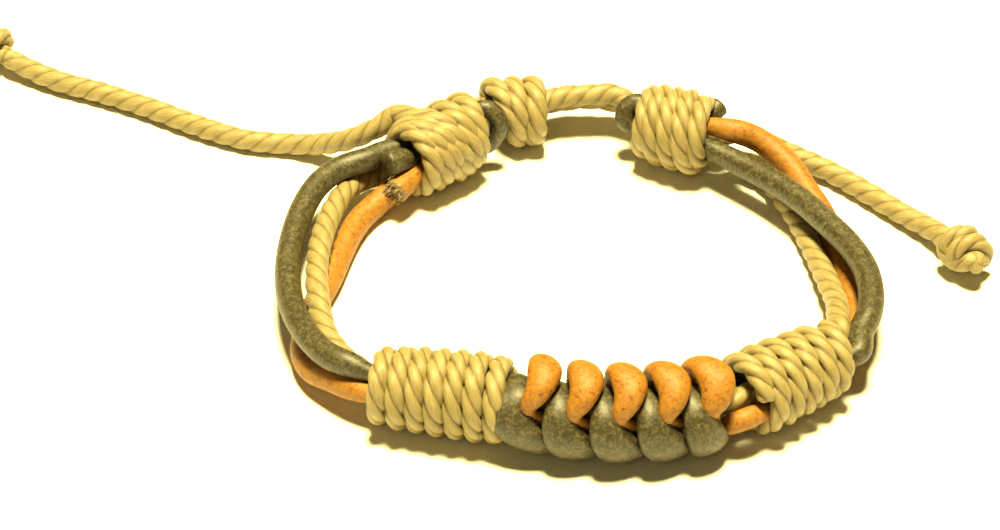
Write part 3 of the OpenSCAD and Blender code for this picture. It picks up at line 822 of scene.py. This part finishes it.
def knottedCord(name, node, material, cord, frays=(), s=loopSettings):
    first, last = cord["angles"]
    angles = np.linspace(first, last, round((last - first) / s["degrees"]) + 1)
    a = np.radians(angles)
    widths, thicks, sway, lift = onLoop(cord["loop"], angles)
    base, more = cord["grow"]
    widths *= base + more * np.clip(angles / s["period"], 0, 1)
    for place, reach, wider, aside in cord["uneven"]:    # the loops aren't all alike
        near = np.exp(-((angles - place) / reach) ** 2)
        widths += near * wider
        sway += near * aside
    at = (cord["begin"] + s["pitch"] * angles / 360 + cord["underBack"] * (np.cos(a) - 1)
          - cord["frontBack"] * np.maximum(0, np.sin(a)) ** 2 + sway)
    coil = (knotAxis(at) + (s["radius"] + lift)[:, None] * knotOutward(at, angles)
            + s["shift"] * knotOutward(at, cord["side"]))
    coilAcross = knotOutward(at, angles) + s["lean"] * tangents(knotAxis(at))
    lead = smoothRoute(cord["before"] + [[*coil[0], widths[0]]])[:-1]
    rest = smoothRoute([[*coil[-1], widths[-1]]] + cord["after"])[1:]
    leadAcross = carried(lead[::-1, :3], coilAcross[0])[::-1]
    restAcross = carried(rest[:, :3], coilAcross[-1])
    points = np.concatenate([lead[:, :3], coil, rest[:, :3]])
    across = np.concatenate([leadAcross, coilAcross, restAcross])
    sizes = np.concatenate([lead[:, [3, 3]], np.stack([widths, thicks], axis=1), rest[:, [3, 3]]]) / 2
    rows = zip(evenly(points, s["gap"], across, sizes), s["soften"])
    points, across, sizes = (relaxed(data, width) for data, width in rows)
    u, v = squared(across, points)
    cut = domedEnds(len(points), s["gap"], s["endRound"]) ** 0.5
    rings = ringsAround(points, u, v, sizes[:, 0] * cut, sizes[:, 1] * cut, s["sides"])
    piece = strandMesh(name, [(inFrame(rings), lengths(points)), *frays])
    return finishPiece(piece, material, node)


fraySettings = {
    "seed": 3,
    "spread": 2.4,           # angle from one fibre to the next, radians
    "root": 0.25,            # how deep the fibres start, mm
    "reach": (0.5, 0.9),     # out of the end, mm
    "aside": 0.5,
    "wild": 0.12,
    "droop": 0.15,
    "radius": 0.17,
    "taper": 0.12,           # how much thinner the tip is
    "points": 6, "sides": 6,
    "coloured": 0.4,         # keeps v small, so that the fibres have the cut end's colours
}


def frayedEnd(end, inside, radius, count, s=fraySettings):    # short fibres that stand out of a cut end
    end, t = np.array(end, float), unit(np.array(end, float) - inside)
    u = unit(np.cross(t, [0, 0, 1]))
    v = np.cross(u, t)
    chance = np.random.default_rng(s["seed"])
    steps = np.linspace(0, 1, s["points"])[:, None]
    uu, vv = (np.tile(d, (s["points"], 1)) for d in (u, v))
    w = s["radius"] - s["taper"] * steps[:, 0]
    fibres = []
    for i in range(count):
        a = s["spread"] * i
        side = np.cos(a) * u + np.sin(a) * v
        start = end - s["root"] * t + radius * math.sqrt((i + 0.5) / count) * side
        reach = t * chance.uniform(*s["reach"])
        reach = reach + side * chance.uniform(0, s["aside"]) + chance.normal(0, s["wild"], 3)
        line = start + reach * steps + s["droop"] * steps ** 2 * np.array([0, 0, -1])
        fibres.append((inFrame(ringsAround(line, uu, vv, w, w, s["sides"])), lengths(line) * s["coloured"]))
    return fibres


knottedCord("oliveCord", "olive_cord", oliveLeather, oliveSettings)
cutEnd, inside = (row[:3] for row in orangeSettings["before"][:2])
frays = frayedEnd(cutEnd, inside, orangeSettings["frayRadius"], orangeSettings["frayCount"])
knottedCord("orangeCord", "orange_cord", orangeLeather, orangeSettings, frays)
print("leather ready")


# floor and lights
stageSettings = {
    "floorSize": 3.0,    # half a side, metres
    "floorColour": (0.93, 0.92, 0.89),
    "floorRoughness": 0.7,
    "world": 0.045,
    "worldColour": (1.0, 0.75, 0.22),
    "lights": [    # place in metres, size, power, colour
        ("softbox", (0.01, 0.05, 0.75), 0.2, 24.0, (1.0, 0.87, 0.37)),
        ("fill", (-0.2, -0.5, 0.45), 0.4, 0.45, (1.0, 0.8, 0.35)),
    ],
}


def makeStage(settings):
    bm = bmesh.new()
    bmesh.ops.create_grid(bm, x_segments=1, y_segments=1, size=settings["floorSize"])
    mesh = bpy.data.meshes.new("floor")
    bm.to_mesh(mesh)
    bm.free()
    floor = bpy.data.objects.new("floor", mesh)
    scene.collection.objects.link(floor)
    material, w, shader = newMaterial("paleFloor")
    shader.inputs["Base Color"].default_value = (*settings["floorColour"], 1)
    shader.inputs["Roughness"].default_value = settings["floorRoughness"]
    mesh.materials.append(material)
    floor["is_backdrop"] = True
    for name, place, size, power, colour in settings["lights"]:    # each one points at the middle of the part
        data = bpy.data.lights.new(name, "AREA")
        data.shape, data.size, data.energy, data.color = "DISK", size, power, colour
        light = bpy.data.objects.new(name, data)
        light.location = place
        light.rotation_euler = (-Vector(place)).to_track_quat("-Z", "Y").to_euler()
        scene.collection.objects.link(light)
    world = bpy.data.worlds.new("studio")
    world.use_nodes = True
    background = world.node_tree.nodes["Background"]
    background.inputs["Color"].default_value = (*settings["worldColour"], 1)
    background.inputs["Strength"].default_value = settings["world"]
    scene.world = world
    scene.view_settings.view_transform = "Standard"


makeStage(stageSettings)
print("stage ready")

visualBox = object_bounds()
plain = lambda box: [[float(n) for n in corner] for corner in box]
{"cad": plain(cadBox), "visual": plain(visualBox)}
